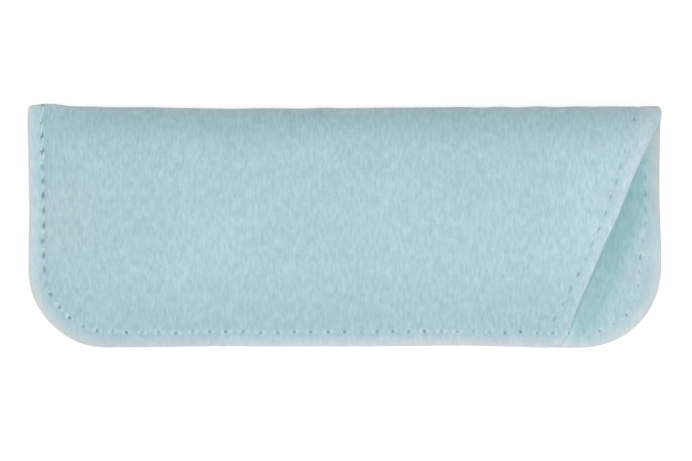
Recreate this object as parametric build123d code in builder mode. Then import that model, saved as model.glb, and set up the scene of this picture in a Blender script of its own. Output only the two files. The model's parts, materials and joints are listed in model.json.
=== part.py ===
"""Soft felt spectacle case: one lined felt blank, folded along its top edge and sewn on two sides.

The case lies on its back panel. X runs along the case from the closed end to the mouth, Y runs up
towards the fold and Z points out of the front panel. The origin is the centre of the case's
footprint, on the surface that it lies on. All dimensions are in millimetres.
"""

from build123d import *

import os
from math import cos, radians, sin, tan

# ---------------------------------------------------------------- overall size
case_length = 170.0
case_width = 65.0
case_height = 12.0
bottom_corner_radius = 21.0
closed_top_radius = 2.0
mouth_top_radius = 1.2

# ---------------------------------------------------------------- walls
felt_thickness = 2.0
lining_thickness = 0.6

# ---------------------------------------------------------------- swell of the front panel
fold_radius = 5.2
seam_margin = 4.8
crown_y = 10.0
closed_end_run = 35.0
pocket_clearance = 3.6

# ---------------------------------------------------------------- slanted mouth and tab
mouth_foot_x = 58.1
mouth_angle = 23.2
hinge_offset = 2.5
hinge_gap = 0.3

# ---------------------------------------------------------------- stitching
thread_width = 0.55
thread_height = 0.4
thread_sink = 0.35
leg_radius = 0.22
dip_radius = 0.42
dip_depth = 0.2
stitch_pitch = 4.4
stitch_inset = 3.9
seam_top_y = 31.0
flat_back_top_y = 26.4
tab_stitch_top_y = 22.0
mouth_stitch_top = (5.9, 30.8)
mouth_stitch_middle = (3.5, 4.0)
mouth_stitch_bottom = (4.6, -26.9)
backtack_length = 12.0
backtack_shift = 0.5

# ---------------------------------------------------------------- worked-out places
half_length = case_length / 2
half_width = case_width / 2
wall = felt_thickness + lining_thickness
seam_height = 2 * wall
fold_y = half_width - fold_radius
fold_height = 2 * fold_radius
seam_edge_y = -half_width + seam_margin
seam_edge_x = -half_length + seam_margin
full_swell_x = seam_edge_x + closed_end_run
stitch_x = half_length - stitch_inset
stitch_y = half_width - stitch_inset
foot_stitch_x = mouth_foot_x + stitch_inset * tan(radians(mouth_angle))
pocket_edge_y = seam_edge_y + pocket_clearance
mouth_plane = Plane(
    origin=(mouth_foot_x, -half_width, 0),
    z_dir=(cos(radians(mouth_angle)), -sin(radians(mouth_angle)), 0),
)
shell_edge_plane = mouth_plane.offset(hinge_offset - hinge_gap / 2)
tab_edge_plane = mouth_plane.offset(hinge_offset + hinge_gap / 2)
foot_plane = Plane.YZ.offset(foot_stitch_x)
standing = (Align.CENTER, Align.CENTER, Align.MIN)


def s_curve(start, end):
    """Line that leaves one point and reaches the other level, as soft felt does."""
    third = (end[0] - start[0]) / 3
    Bezier(start, (start[0] + third, start[1]), (end[0] - third, end[1]), end)


def s_height(place, start, end, low, high):
    """Height of an s_curve at a place along it."""
    u = (place - start) / (end - start)
    return low + (high - low) * u * u * (3 - 2 * u)


def front_height(y):
    """Height of the front panel's outer face, across the case."""
    if y > fold_y:
        return fold_radius + (fold_radius**2 - (y - fold_y) ** 2) ** 0.5
    if y > crown_y:
        return s_height(y, fold_y, crown_y, fold_height, case_height)
    return s_height(y, seam_edge_y, crown_y, seam_height, case_height)


def mouth_x(y, inset):
    """Place along the case of a line that lies inset from the slanted edge."""
    angle = radians(mouth_angle)
    return mouth_foot_x + (y + half_width) * tan(angle) - inset / cos(angle)


def plan(inset=0.0):
    """Outline of the case from the front, its sewn edges moved in by inset."""
    left = -half_length + inset
    bottom = -half_width + inset
    with BuildSketch() as outline:
        with Locations(((left + half_length) / 2, (bottom + half_width) / 2)):
            Rectangle(half_length - left, half_width - bottom)
        low_corners = outline.vertices().group_by(Axis.Y)[0]
        top_left, top_right = outline.vertices().group_by(Axis.Y)[-1].sort_by(Axis.X)
        fillet(low_corners, bottom_corner_radius - inset)
        fillet(top_left, closed_top_radius)
        fillet(top_right, mouth_top_radius)
    return outline.sketch


def seam_flap(edge, outer, depth):
    """Flat sewn margin at the end of a section; the pocket has none, because its walls meet there."""
    if depth < wall:
        Polyline(
            (edge, seam_height - depth),
            (outer, seam_height - depth),
            (outer, depth),
            (edge, depth),
        )


def body_below(depth, outline):
    """Solid inside the surface that lies depth under the felt's outer face."""
    crown = case_height - depth
    with BuildPart() as body:
        with BuildSketch(Plane.YZ.offset(-half_length)):
            with BuildLine():
                Line((seam_edge_y, depth), (fold_y, depth))
                ThreePointArc(
                    (fold_y, depth),
                    (half_width - depth, fold_radius),
                    (fold_y, fold_height - depth),
                )
                s_curve((fold_y, fold_height - depth), (crown_y, crown))
                s_curve((crown_y, crown), (seam_edge_y, seam_height - depth))
                seam_flap(seam_edge_y, -half_width, depth)
            make_face()
        extrude(amount=case_length)
        with BuildSketch(Plane.XZ.offset(-half_width)):
            with BuildLine():
                Line((seam_edge_x, depth), (half_length, depth))
                Line((half_length, depth), (half_length, crown))
                Line((half_length, crown), (full_swell_x, crown))
                s_curve((full_swell_x, crown), (seam_edge_x, seam_height - depth))
                seam_flap(seam_edge_x, -half_length, depth)
            make_face()
        extrude(amount=case_width, mode=Mode.INTERSECT)
        add(outline)
        extrude(amount=case_height, mode=Mode.INTERSECT)
    return body.part


def prism(outline, low, high):
    """Straight block over an outline, between two heights."""
    with BuildPart() as block:
        with BuildSketch(Plane.XY.offset(low)):
            add(outline)
        extrude(amount=high - low)
    return block.part


def spaced(path, pitch):
    """Evenly spaced points along a path, as near to the pitch as its length allows."""
    count = round(path.length / pitch)
    return [path @ (i / count) for i in range(count + 1)]


# ---------------------------------------------------------------- layers of the case
whole_plan = plan()
outer_body = body_below(0.0, whole_plan)
felt_inside = body_below(felt_thickness, whole_plan)
pocket = body_below(wall, plan(seam_margin + pocket_clearance))

with BuildPart() as mouth_opening:
    with Locations((0, 0, wall)):
        Box(2 * case_length, 2 * case_width, case_height, align=standing)
    split(bisect_by=mouth_plane, keep=Keep.TOP)

# ---------------------------------------------------------------- stitch lines
with BuildLine() as seam_line:
    FilletPolyline(
        (-stitch_x, seam_top_y),
        (-stitch_x, -stitch_y),
        (stitch_x, -stitch_y),
        (stitch_x, tab_stitch_top_y),
        radius=bottom_corner_radius - stitch_inset,
    )
with BuildLine() as mouth_line:
    ThreePointArc(
        *[
            (mouth_x(y, inset), y)
            for inset, y in (mouth_stitch_top, mouth_stitch_middle, mouth_stitch_bottom)
        ]
    )
seam_holes = spaced(seam_line.wire(), stitch_pitch)
mouth_holes = spaced(mouth_line.wire(), stitch_pitch)

with BuildSketch() as seam_width:
    trace(seam_line.wire(), thread_width)
    with Locations((-stitch_x + backtack_shift, seam_top_y - backtack_length / 2)):
        Rectangle(thread_width, backtack_length)
with BuildSketch() as mouth_width:
    trace(mouth_line.wire(), thread_width)


def seam_run(low, dip_z, leg_low, leg_high, kept):
    """Thread in the seam's groove from height low, with a leg down each hole, on one side of the foot."""
    with BuildPart() as run:
        add(prism(seam_width.sketch, low, low + thread_height))
        with Locations(*[(hole.X, hole.Y, dip_z) for hole in seam_holes]):
            Cylinder(dip_radius, 2 * dip_depth, mode=Mode.SUBTRACT)
        with Locations(*[(hole.X, hole.Y, leg_low) for hole in seam_holes]):
            Cylinder(leg_radius, leg_high - leg_low, align=standing)
        split(bisect_by=foot_plane, keep=kept)
    return run.part


def mouth_strip(upper, lower, top_y):
    """Strip of the front panel under the mouth's stitch line, from a depth down to a lower body."""
    with BuildPart() as strip:
        add(prism(mouth_width.sketch, wall, 2 * case_height))
        split(bisect_by=Plane.XZ.offset(-top_y), keep=Keep.TOP)
        add(body_below(upper, whole_plan), mode=Mode.INTERSECT)
        add(lower, mode=Mode.SUBTRACT)
    return strip.part


def mouth_legs(upper, lower, low_y, high_y):
    """Upright thread legs at the mouth's needle holes, between two depths under the front face."""
    with BuildPart() as legs:
        for hole in mouth_holes:
            if low_y < hole.Y < high_y:
                with Locations((hole.X, hole.Y, front_height(hole.Y) - lower)):
                    Cylinder(leg_radius, lower - upper, align=standing)
    return legs.part


front_groove_low = seam_height - thread_sink
back_groove_low = wall - thread_sink
front_seam_groove = prism(seam_width.sketch, front_groove_low, case_height)
back_seam_groove = prism(seam_width.sketch, back_groove_low, wall)
under_seam_groove = prism(seam_width.sketch, 0.0, thread_height)
needle_strip = mouth_strip(
    thread_sink - thread_height,
    body_below(thread_sink, whole_plan),
    half_width,
)
bobbin_strip = mouth_strip(wall - thread_height, pocket, fold_y)
front_needle_run = seam_run(front_groove_low, seam_height, wall, seam_height - dip_depth, Keep.BOTTOM)
under_bobbin_run = seam_run(0.0, 0.0, dip_depth, wall, Keep.BOTTOM)
back_needle_run = seam_run(back_groove_low, wall, wall / 2, wall - dip_depth, Keep.TOP)
back_bobbin_run = seam_run(0.0, 0.0, dip_depth, wall / 2, Keep.TOP)

# ---------------------------------------------------------------- felt
with BuildPart() as felt_shell:
    add(outer_body)
    add(felt_inside, mode=Mode.SUBTRACT)
    add(mouth_opening, mode=Mode.SUBTRACT)
    add(front_seam_groove, mode=Mode.SUBTRACT)
    add(under_seam_groove, mode=Mode.SUBTRACT)
    add(needle_strip, mode=Mode.SUBTRACT)
    split(bisect_by=shell_edge_plane, keep=Keep.BOTTOM)

with BuildPart() as felt_tab:
    add(prism(whole_plan, 0.0, felt_thickness))
    add(under_seam_groove, mode=Mode.SUBTRACT)
    split(bisect_by=tab_edge_plane, keep=Keep.TOP)

# ---------------------------------------------------------------- lining
with BuildPart() as back_groove_past_foot:
    add(back_seam_groove)
    split(bisect_by=foot_plane, keep=Keep.TOP)

with BuildPart() as lining_shell:
    add(felt_inside)
    add(pocket, mode=Mode.SUBTRACT)
    add(mouth_opening, mode=Mode.SUBTRACT)
    add(bobbin_strip, mode=Mode.SUBTRACT)
    add(back_groove_past_foot, mode=Mode.SUBTRACT)
    split(bisect_by=shell_edge_plane, keep=Keep.BOTTOM)

with BuildPart() as lining_tab:
    add(prism(whole_plan, felt_thickness, wall))
    add(back_seam_groove, mode=Mode.SUBTRACT)
    split(bisect_by=tab_edge_plane, keep=Keep.TOP)

# ---------------------------------------------------------------- seam thread
with BuildPart() as seam_needle_thread:
    add(back_needle_run)
    split(bisect_by=shell_edge_plane, keep=Keep.BOTTOM)
    add(front_needle_run)
    with Locations((foot_stitch_x + thread_height / 2, -stitch_y, back_groove_low)):
        Box(thread_height, thread_width, seam_height - back_groove_low, align=standing)

with BuildPart() as seam_bobbin_thread:
    add(back_bobbin_run)
    split(bisect_by=shell_edge_plane, keep=Keep.BOTTOM)
    add(under_bobbin_run)
    split(bisect_by=Plane.XZ.offset(-flat_back_top_y), keep=Keep.TOP)

with BuildPart() as tab_needle_thread:
    add(back_needle_run)
    split(bisect_by=tab_edge_plane, keep=Keep.TOP)

with BuildPart() as tab_bobbin_thread:
    add(back_bobbin_run)
    split(bisect_by=tab_edge_plane, keep=Keep.TOP)

# ---------------------------------------------------------------- mouth thread
with BuildPart() as mouth_needle_thread:
    add(needle_strip)
    add(mouth_legs(dip_depth, wall / 2, -half_width, mouth_holes[0].Y))

with BuildPart() as mouth_bobbin_thread:
    add(bobbin_strip)
    add(mouth_legs(wall / 2, wall - dip_depth, pocket_edge_y, fold_y))

# ---------------------------------------------------------------- files
pieces = {
    "felt_shell": felt_shell,
    "felt_tab": felt_tab,
    "lining_shell": lining_shell,
    "lining_tab": lining_tab,
    "seam_needle_thread": seam_needle_thread,
    "seam_bobbin_thread": seam_bobbin_thread,
    "tab_needle_thread": tab_needle_thread,
    "tab_bobbin_thread": tab_bobbin_thread,
    "mouth_needle_thread": mouth_needle_thread,
    "mouth_bobbin_thread": mouth_bobbin_thread,
}
os.makedirs("parts", exist_ok=True)
for name, piece in pieces.items():
    piece.part.label = name
    export_step(piece.part, f"parts/{name}.step")
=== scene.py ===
"""Looks of a soft felt spectacle case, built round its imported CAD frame.

Sizes are in millimetres until a mesh is made, and every mesh is made in metres in the frame's own
axes: X from the closed end to the mouth, Y from the sewn bottom edge to the fold, Z out of the front.
The felt blank is one closed sheet. Its front panel, its fold and its back panel are worked out as
three stretches of one surface, and `depth` is how far under the felt's outer face a point lies.
"""

import json
import math

import bmesh
import bpy
import numpy as np
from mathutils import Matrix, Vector


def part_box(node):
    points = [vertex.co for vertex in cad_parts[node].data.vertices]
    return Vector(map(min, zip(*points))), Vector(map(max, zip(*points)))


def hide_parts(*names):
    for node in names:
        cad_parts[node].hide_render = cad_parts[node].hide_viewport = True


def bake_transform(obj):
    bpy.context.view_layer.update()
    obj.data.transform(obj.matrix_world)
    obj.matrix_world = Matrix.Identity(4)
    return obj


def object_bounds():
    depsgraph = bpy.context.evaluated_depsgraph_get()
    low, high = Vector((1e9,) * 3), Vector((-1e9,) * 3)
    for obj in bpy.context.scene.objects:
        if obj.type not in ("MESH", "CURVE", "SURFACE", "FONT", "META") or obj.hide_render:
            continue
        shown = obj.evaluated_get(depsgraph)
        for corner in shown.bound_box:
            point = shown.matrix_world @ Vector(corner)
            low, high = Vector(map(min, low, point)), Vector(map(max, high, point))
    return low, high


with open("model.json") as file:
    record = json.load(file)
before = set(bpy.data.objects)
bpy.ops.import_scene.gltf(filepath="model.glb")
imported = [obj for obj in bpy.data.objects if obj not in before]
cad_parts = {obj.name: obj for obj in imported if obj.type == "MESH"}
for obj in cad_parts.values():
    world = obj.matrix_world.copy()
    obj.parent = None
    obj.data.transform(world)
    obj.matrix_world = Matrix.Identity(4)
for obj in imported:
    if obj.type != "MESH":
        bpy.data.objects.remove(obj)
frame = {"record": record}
cad_low, cad_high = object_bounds()

# -------- sizes taken from the frame
MM = 0.001
HALF_LENGTH = cad_high.x / MM
HALF_WIDTH = cad_high.y / MM
CROWN_HEIGHT = cad_high.z / MM
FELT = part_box("felt_tab")[1].z / MM
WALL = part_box("lining_tab")[1].z / MM
SEAM_HEIGHT = 2 * WALL
JOINT = frame["record"]["behaviour"]["joints"][0]
HINGE = np.array(JOINT["pos_m"]) / MM
MOUTH_ANGLE = math.atan2(abs(JOINT["axis"][0]), abs(JOINT["axis"][1]))
OUTBOARD = np.array([math.cos(MOUTH_ANGLE), -math.sin(MOUTH_ANGLE), 0.0])
ALONG_MOUTH = np.array([math.sin(MOUTH_ANGLE), math.cos(MOUTH_ANGLE), 0.0])

# -------- shape of the case
HINGE_OFFSET = 2.5
CORNER = 21.0
FOLD_RADIUS = 5.2
CLOSED_TOP_RADIUS = 0.15
MOUTH_TOP_RADIUS = 1.25
CROWN_Y = 12.0
FOLD_FULLNESS = 2.4
SWELL_POWER = 1.7
SWELL_START_X = -HALF_LENGTH + 4.6
SWELL_START_Y = -HALF_WIDTH + 4.6
SWELL_LENGTH = 42.0
HINGE_AT_FOOT = HINGE[0] - (HINGE[1] + HALF_WIDTH) * math.tan(MOUTH_ANGLE)
MOUTH_FOOT_X = HINGE_AT_FOOT - HINGE_OFFSET / math.cos(MOUTH_ANGLE)
MOUTH_FOOT = np.array([MOUTH_FOOT_X, -HALF_WIDTH])

# -------- how soft edges and faces settle
TOP_TUCK = 0.26
TOP_DIP = 0.3
TOP_HOLLOWS = ((0.32, -20.0, 30.0), (0.2, -36.0, 7.0))
BOTTOM_RISE = 0.5
BOTTOM_HOLLOWS = ((0.12, -34.0, 9.0), (0.25, 31.0, 13.0), (-0.3, 59.0, 9.0))
CORNER_PULL = 0.15
CORNER_MIDDLE = (-78.9, -26.4)
CORNER_REACH = 7.0
CLOSED_END_DRAW = 0.38
CLOSED_END_TOP = (29.0, 12.0)
CLOSED_END_HOLLOW = (0.22, 4.0, 7.0)
MOUTH_END_DRAW = (0.35, 12.0, 13.0)
MOUTH_END_BULGE = (0.18, -6.0, 7.0)
MOUTH_END_TUCK = 0.3
FOOT_LIFT = 1.3
FOOT_REACH = 2.4
LIP_DRAW = 0.62
LIP_REACH = 14.0
LIP_TOP = (4.0, 10.0)
LIP_FOOT = (-30.0, 9.0)
FOLD_RIPPLE = 0.11
PINCH_BUMP = 0.8
PINCH_X = -HALF_LENGTH + 4.3
PINCH_REACH = (4.4, 7.0)
FACE_LUMPS = 0.16
SMALL_LUMPS_SHARE = 0.35
FELTED_LUMPS = 0.03
# The powers by which the settling dies away from the bottom, the top and the two ends.
BOTTOM_FADE = 2
TOP_FADE = 4
CLOSED_END_FADE = 6
MOUTH_END_FADE = 8
# Lumps: their size in mm, their seed, and how many waves make them where that isn't nine.
RIPPLES = (11.0, 3)
BROAD_LUMPS = (19.0, 5)
SMALL_LUMPS = (6.0, 6)
FELTED = (2.6, 8, 24)
EDGE_ROUNDING = 0.62
EDGE_STEPS = 5

# -------- stitching
STITCH_INSET = 3.95
SEAM_TOP = 32.3
TAB_STITCH_TOP = 22.0
CLOSED_END_PITCH = 4.01
SEAM_PITCHES = (4.01, 3.65, 4.29, 3.97, 4.54, 4.28)
PITCH_CHANGES = (40.1, 51.05, 68.2, 80.1, 134.6)
SEAM_PITCH = 4.3
CLOSED_CORNER_DRIFT = (0.85, 13.0)
MOUTH_CORNER_DRIFT = (2.1, 10.0)
CLOSED_END_STRAY = 0.13
STRAY_FADE = (6.0, 12.0)
MOUTH_STITCHES = 13
MOUTH_STITCH_FOOT = (6.9, 4.6)
MOUTH_STITCH_MIDDLE = (39.7, 3.5)
MOUTH_STITCH_TOP = (64.3, 6.3)
FOLD_STITCHES = 4
GROOVE_DEPTH = 0.13
CLOSED_END_TIGHTNESS = 2.9
TIGHTNESS_FADE = (4.0, 8.0)
SEWING_START = (0.2, 1.4)
SEWING_END = 1.0
MOUTH_SEWING_END = 4.0
GROOVE_WIDTH = 0.8
PIT_DEPTH = 0.3
PIT_WIDTH = 0.8
THREAD_RADIUS = 0.25
CLOSED_END_THREAD = 0.35
THREAD_BURIED = 0.37
THREAD_HIDDEN = 0.42
THREAD_PROUD = 0.17
THREAD_SINK = 0.5
PROUD_STITCHES_END = 21.0
SINK_FADE = 5.0
CLEARANCE = 0.03
STITCH_SLANT = 0.08
CLOSED_END_SLANT = 0.3
STITCH_END = 0.2
STITCH_DIP = 0.95
DIP_POWER = 1.5
STITCH_POINTS = 25
FOOT_STEP = (1.6, 0.3)
PLIES = 3
PLY_SIDES = 5
PLY_SHARE = 0.54
TWIST_LENGTH = 1.5
CLOSED_END_ROW_X = -HALF_LENGTH + STITCH_INSET
FAR = 99.0

# -------- loose fibres
FIBRE_RADIUS = 0.016
# How many fibres there are, their nominal length and their seed.
EDGE_FIBRES = (9000, 0.75, 21)
FACE_FIBRES = (7000, 0.6, 22)
FIBRE_TAPER = 0.8
FIBRE_ROOT = 0.06
FIBRE_SPREAD = (0.35, 1.0)
FIBRE_RISE = (0.25, 0.9)
FIBRE_LEAN = (0.5, 1.1)
GROUND_CLEARANCE = 1.0


# ======== small helpers
def smooth(t):
    """Smooth step from 0 to 1."""
    t = np.clip(t, 0.0, 1.0)
    return t * t * (3 - 2 * t)


def waves(x, y, size, seed, count=9):
    """Gentle random lumps of about the given size, between about -1 and 1."""
    rng = np.random.default_rng(seed)
    total = 0.0
    for _ in range(count):
        angle = rng.uniform(0, math.tau)
        rate = math.tau / (size * rng.uniform(0.7, 1.6))
        phase = rng.uniform(0, math.tau)
        total = total + np.sin(rate * (x * math.cos(angle) + y * math.sin(angle)) + phase)
    return total * math.sqrt(2.0 / count) / 2


def mouth_x(y):
    """Place along the case of the front panel's slanted edge."""
    return MOUTH_FOOT_X + (y + HALF_WIDTH) * math.tan(MOUTH_ANGLE)


# ======== stitch lines
LEFT_RUN = SEAM_TOP + HALF_WIDTH - CORNER
STITCH_RADIUS = CORNER - STITCH_INSET
ARC_RUN = STITCH_RADIUS * math.pi / 2
BOTTOM_RUN = 2 * (HALF_LENGTH - CORNER)
RIGHT_RUN = TAB_STITCH_TOP + HALF_WIDTH - CORNER
ARC_X = HALF_LENGTH - CORNER
ARC_Y = -HALF_WIDTH + CORNER
RUN_ENDS = np.cumsum([LEFT_RUN, ARC_RUN, BOTTOM_RUN, ARC_RUN, RIGHT_RUN])
LEFT_END, LEFT_ARC_END, BOTTOM_END, RIGHT_ARC_END, BACK_SEAM_END = RUN_ENDS
LEFT_COUNT = LEFT_RUN / CLOSED_END_PITCH
PITCH_STOPS = np.array([0.0, *PITCH_CHANGES, BACK_SEAM_END + 20.0])
STOP_COUNTS = np.concatenate([[0], np.cumsum(np.diff(PITCH_STOPS) / SEAM_PITCHES)])
MOUTH_BOW = np.polyfit(*zip(MOUTH_STITCH_FOOT, MOUTH_STITCH_MIDDLE, MOUTH_STITCH_TOP), 2)


def seam_drift(s):
    """How far the stitch line strays inwards, which it does round both corners, or outwards."""
    drift = -CLOSED_END_STRAY * smooth((LEFT_RUN + STRAY_FADE[0] - s) / STRAY_FADE[1])
    for middle, (most, reach) in (
        (LEFT_RUN + ARC_RUN / 2, CLOSED_CORNER_DRIFT),
        (RIGHT_ARC_END, MOUTH_CORNER_DRIFT),
    ):
        drift = drift + most * np.exp(-(((s - middle) / reach) ** 2))
    return drift


def seam_point(s):
    """Point of the seam's stitch line at a distance s along it from the top of the closed end."""
    radius = STITCH_RADIUS - float(seam_drift(s))
    if s < LEFT_END:
        return -ARC_X - radius, SEAM_TOP - s
    if s < LEFT_ARC_END:
        turn = (s - LEFT_END) / STITCH_RADIUS
        return -ARC_X - radius * math.cos(turn), ARC_Y - radius * math.sin(turn)
    if s < BOTTOM_END:
        return -ARC_X + s - LEFT_ARC_END, ARC_Y - radius
    if s < RIGHT_ARC_END:
        turn = (s - BOTTOM_END) / STITCH_RADIUS
        return ARC_X + radius * math.sin(turn), ARC_Y - radius * math.cos(turn)
    return ARC_X + radius, ARC_Y + s - RIGHT_ARC_END


def seam_count(s):
    """How many stitches come before a distance s along the seam."""
    before = np.minimum(s, 0.0) / CLOSED_END_PITCH
    return before + np.interp(s, PITCH_STOPS, STOP_COUNTS)


def seam_distance(count):
    """Distance along the seam of a needle hole, from its number."""
    return float(np.interp(count, STOP_COUNTS, PITCH_STOPS))


def seam_place(x, y):
    """Distance along the seam's stitch line of the nearest place on it, and distance from it."""
    low = y < ARC_Y
    radial = np.hypot(np.abs(x) - ARC_X, y - ARC_Y)
    corner = low & (np.abs(x) > ARC_X)
    turn = np.arctan2(ARC_Y - y, np.abs(x) - ARC_X)
    to_bottom = y - ARC_Y + STITCH_RADIUS
    to_left = x + ARC_X + STITCH_RADIUS
    to_right = ARC_X + STITCH_RADIUS - x
    away = np.minimum(np.minimum(to_left, to_right), to_bottom)
    along = np.where(
        (to_left <= to_bottom) & (to_left <= to_right),
        SEAM_TOP - y,
        np.where(to_right < to_bottom, RIGHT_ARC_END + y - ARC_Y, LEFT_ARC_END + x + ARC_X),
    )
    along = np.where(corner & (x < 0), LEFT_END + STITCH_RADIUS * turn, along)
    along = np.where(corner & (x > 0), RIGHT_ARC_END - STITCH_RADIUS * turn, along)
    return along, np.where(corner, STITCH_RADIUS - radial, away) - seam_drift(along)


def mouth_place(x, y):
    """Distance up the slanted edge from its foot, and distance inside its bowed stitch line."""
    up = (x - MOUTH_FOOT[0]) * ALONG_MOUTH[0] + (y - MOUTH_FOOT[1]) * ALONG_MOUTH[1]
    inside = -(x - MOUTH_FOOT[0]) * OUTBOARD[0] - (y - MOUTH_FOOT[1]) * OUTBOARD[1]
    return up, inside - np.polyval(MOUTH_BOW, up)


def mouth_point(up):
    """Point of the mouth's stitch line at a distance up the slanted edge."""
    spot = MOUTH_FOOT + up * ALONG_MOUTH[:2] - np.polyval(MOUTH_BOW, up) * OUTBOARD[:2]
    return float(spot[0]), float(spot[1])


def mouth_count(up):
    """How many stitches come before a distance up the slanted edge."""
    return (up - MOUTH_STITCH_FOOT[0]) * MOUTH_STITCHES / (MOUTH_STITCH_TOP[0] - MOUTH_STITCH_FOOT[0])


def pulled_in(count, pitch, away, tightness=1.0):
    """How deep sewing pulls the felt down, near a stitch line and most of all at its holes."""
    beside = (count - np.round(count)) * pitch
    line = GROOVE_DEPTH * tightness * np.exp(-((away / GROOVE_WIDTH) ** 2))
    return line + PIT_DEPTH * np.exp(-(beside**2 + away**2) / PIT_WIDTH**2)


FRONT_SEAM_END = float(seam_place(mouth_x(ARC_Y - STITCH_RADIUS), ARC_Y - STITCH_RADIUS)[0])


def seam_relief(x, y, end):
    """Depth of the seam's groove and pits, on a panel where the stitching ends at a distance along."""
    along, away = seam_place(x, y)
    sewn = smooth((along - SEWING_START[0]) / SEWING_START[1]) * (along < end + SEWING_END)
    tight = smooth((LEFT_RUN + TIGHTNESS_FADE[0] - along) / TIGHTNESS_FADE[1])
    tightness = 1 + (CLOSED_END_TIGHTNESS - 1) * tight
    return sewn * pulled_in(seam_count(along), SEAM_PITCH, away, tightness)


def mouth_relief(x, y):
    """Depth of the groove and pits beside the slanted edge."""
    up, away = mouth_place(x, y)
    sewn = (up > MOUTH_STITCH_FOOT[0] - SEWING_END) & (up < MOUTH_STITCH_TOP[0] + MOUTH_SEWING_END)
    return np.where(sewn, pulled_in(mouth_count(up), SEAM_PITCH, away), 0.0)


# ======== the felt's surface
def swell(start, length, place):
    """How far the front panel has risen from flat to full, at a distance from a seam."""
    u = np.clip((place - start) / length, 0.0, 1.0)
    return 1 - (1 - u) ** SWELL_POWER


def levels(x):
    """Height of the crown and of the fold's outermost line, which the closed end pinches."""
    full = swell(SWELL_START_X, SWELL_LENGTH, x)
    crown = SEAM_HEIGHT + (CROWN_HEIGHT - SEAM_HEIGHT) * full
    return crown, WALL + (FOLD_RADIUS - WALL) * full


def front_height(x, y, depth):
    """Height of the front panel, as far round as the fold's outermost line."""
    crown, edge = levels(x)
    rise = swell(SWELL_START_Y, CROWN_Y - SWELL_START_Y, y)
    low = SEAM_HEIGHT + (crown - SEAM_HEIGHT) * rise - depth
    t = np.clip((y - CROWN_Y) / (HALF_WIDTH - CROWN_Y - depth), 0.0, 1.0)
    high = edge + (crown - depth - edge) * np.sqrt(1 - t**FOLD_FULLNESS)
    return np.where(y < CROWN_Y, low, high)


def bump(place, height, centre, reach):
    """Soft bump of a height at a centre."""
    return height * np.exp(-(((place - centre) / reach) ** 2))


def settle(x, y, z):
    """Draws the edges in between their ends and lays soft lumps in the faces."""
    up = np.clip((y + HALF_WIDTH) / (2 * HALF_WIDTH), 0, 1)
    across = np.clip((x + HALF_LENGTH) / (2 * HALF_LENGTH), 0, 1)
    middle = 1 - (x / HALF_LENGTH) ** 2
    reach = np.where(x < PINCH_X, *PINCH_REACH)
    top = bump(x, PINCH_BUMP, PINCH_X, reach) + FOLD_RIPPLE * waves(x, 0 * x, *RIPPLES)
    top = top - TOP_TUCK - TOP_DIP * middle - sum(bump(x, *hollow) for hollow in TOP_HOLLOWS)
    bottom = BOTTOM_RISE * middle + sum(bump(x, *hollow) for hollow in BOTTOM_HOLLOWS)
    corner = bump(np.hypot(x - CORNER_MIDDLE[0], y - CORNER_MIDDLE[1]), CORNER_PULL, 0.0, CORNER_REACH)
    to_foot = np.hypot(x - MOUTH_FOOT[0], y - MOUTH_FOOT[1])
    foot = bump(to_foot, FOOT_LIFT, 0.0, FOOT_REACH) * smooth((z - WALL) / WALL)
    to_lip = np.clip(mouth_x(y) - x, 0, LIP_REACH)
    lip = LIP_DRAW * smooth(1 - to_lip / LIP_REACH) * smooth((z - WALL) / WALL)
    lip = lip * smooth((LIP_TOP[0] - y) / LIP_TOP[1]) * smooth((y - LIP_FOOT[0]) / LIP_FOOT[1])
    closed_end = CLOSED_END_DRAW * smooth((CLOSED_END_TOP[0] - y) / CLOSED_END_TOP[1])
    closed_end = closed_end + bump(y, *CLOSED_END_HOLLOW)
    mouth_end = bump(y, *MOUTH_END_DRAW) - bump(y, *MOUTH_END_BULGE)
    mouth_end = mouth_end + MOUTH_END_TUCK * np.clip(z - SEAM_HEIGHT, 0, None)
    new_x = x + closed_end * (1 - across) ** CLOSED_END_FADE
    new_x = new_x - mouth_end * across**MOUTH_END_FADE - lip + corner
    new_y = y + bottom * (1 - up) ** BOTTOM_FADE + top * up**TOP_FADE + foot + corner
    lumps = waves(x, y, *BROAD_LUMPS) + SMALL_LUMPS_SHARE * waves(x, y, *SMALL_LUMPS)
    felted = FELTED_LUMPS * waves(x, y, *FELTED)
    return new_x, new_y, z + smooth(z / SEAM_HEIGHT) * (FACE_LUMPS * lumps + felted)


def front_relief(x, y):
    """Depth of all the grooves and pits of the front panel."""
    return seam_relief(x, y, FRONT_SEAM_END) + mouth_relief(x, y)


def front_face(x, y, depth, relief):
    """Points of the front panel at a depth under its outer face."""
    return settle(x, y, front_height(x, y, depth) - relief * front_relief(x, y))


def fold_front(x, phi, depth, relief):
    """Points of the fold's front half; phi runs from 90 degrees at the crown to 0 at its outermost line."""
    crown, edge = levels(x)
    y = CROWN_Y + (HALF_WIDTH - CROWN_Y - depth) * np.cos(phi) ** (2 / FOLD_FULLNESS)
    worn = relief * front_relief(x, y)
    z = edge + (crown - depth - edge) * np.sin(phi)
    return settle(x, y - worn * np.cos(phi), z - worn * np.sin(phi))


def fold_back(x, phi, depth, relief):
    """Points of the fold's back half; phi runs from 0 at its outermost line to 90 degrees underneath."""
    edge = levels(x)[1]
    y = HALF_WIDTH - FOLD_RADIUS + (FOLD_RADIUS - depth) * np.cos(phi)
    worn = relief * seam_relief(x, y, FRONT_SEAM_END)
    z = edge - (edge - depth) * np.sin(phi)
    return settle(x, y - worn * np.cos(phi), z + worn * np.sin(phi))


def back_face(x, y, depth, relief):
    """Points of the back panel at a depth over its outer face."""
    return settle(x, y, depth + relief * seam_relief(x, y, BACK_SEAM_END))


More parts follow.
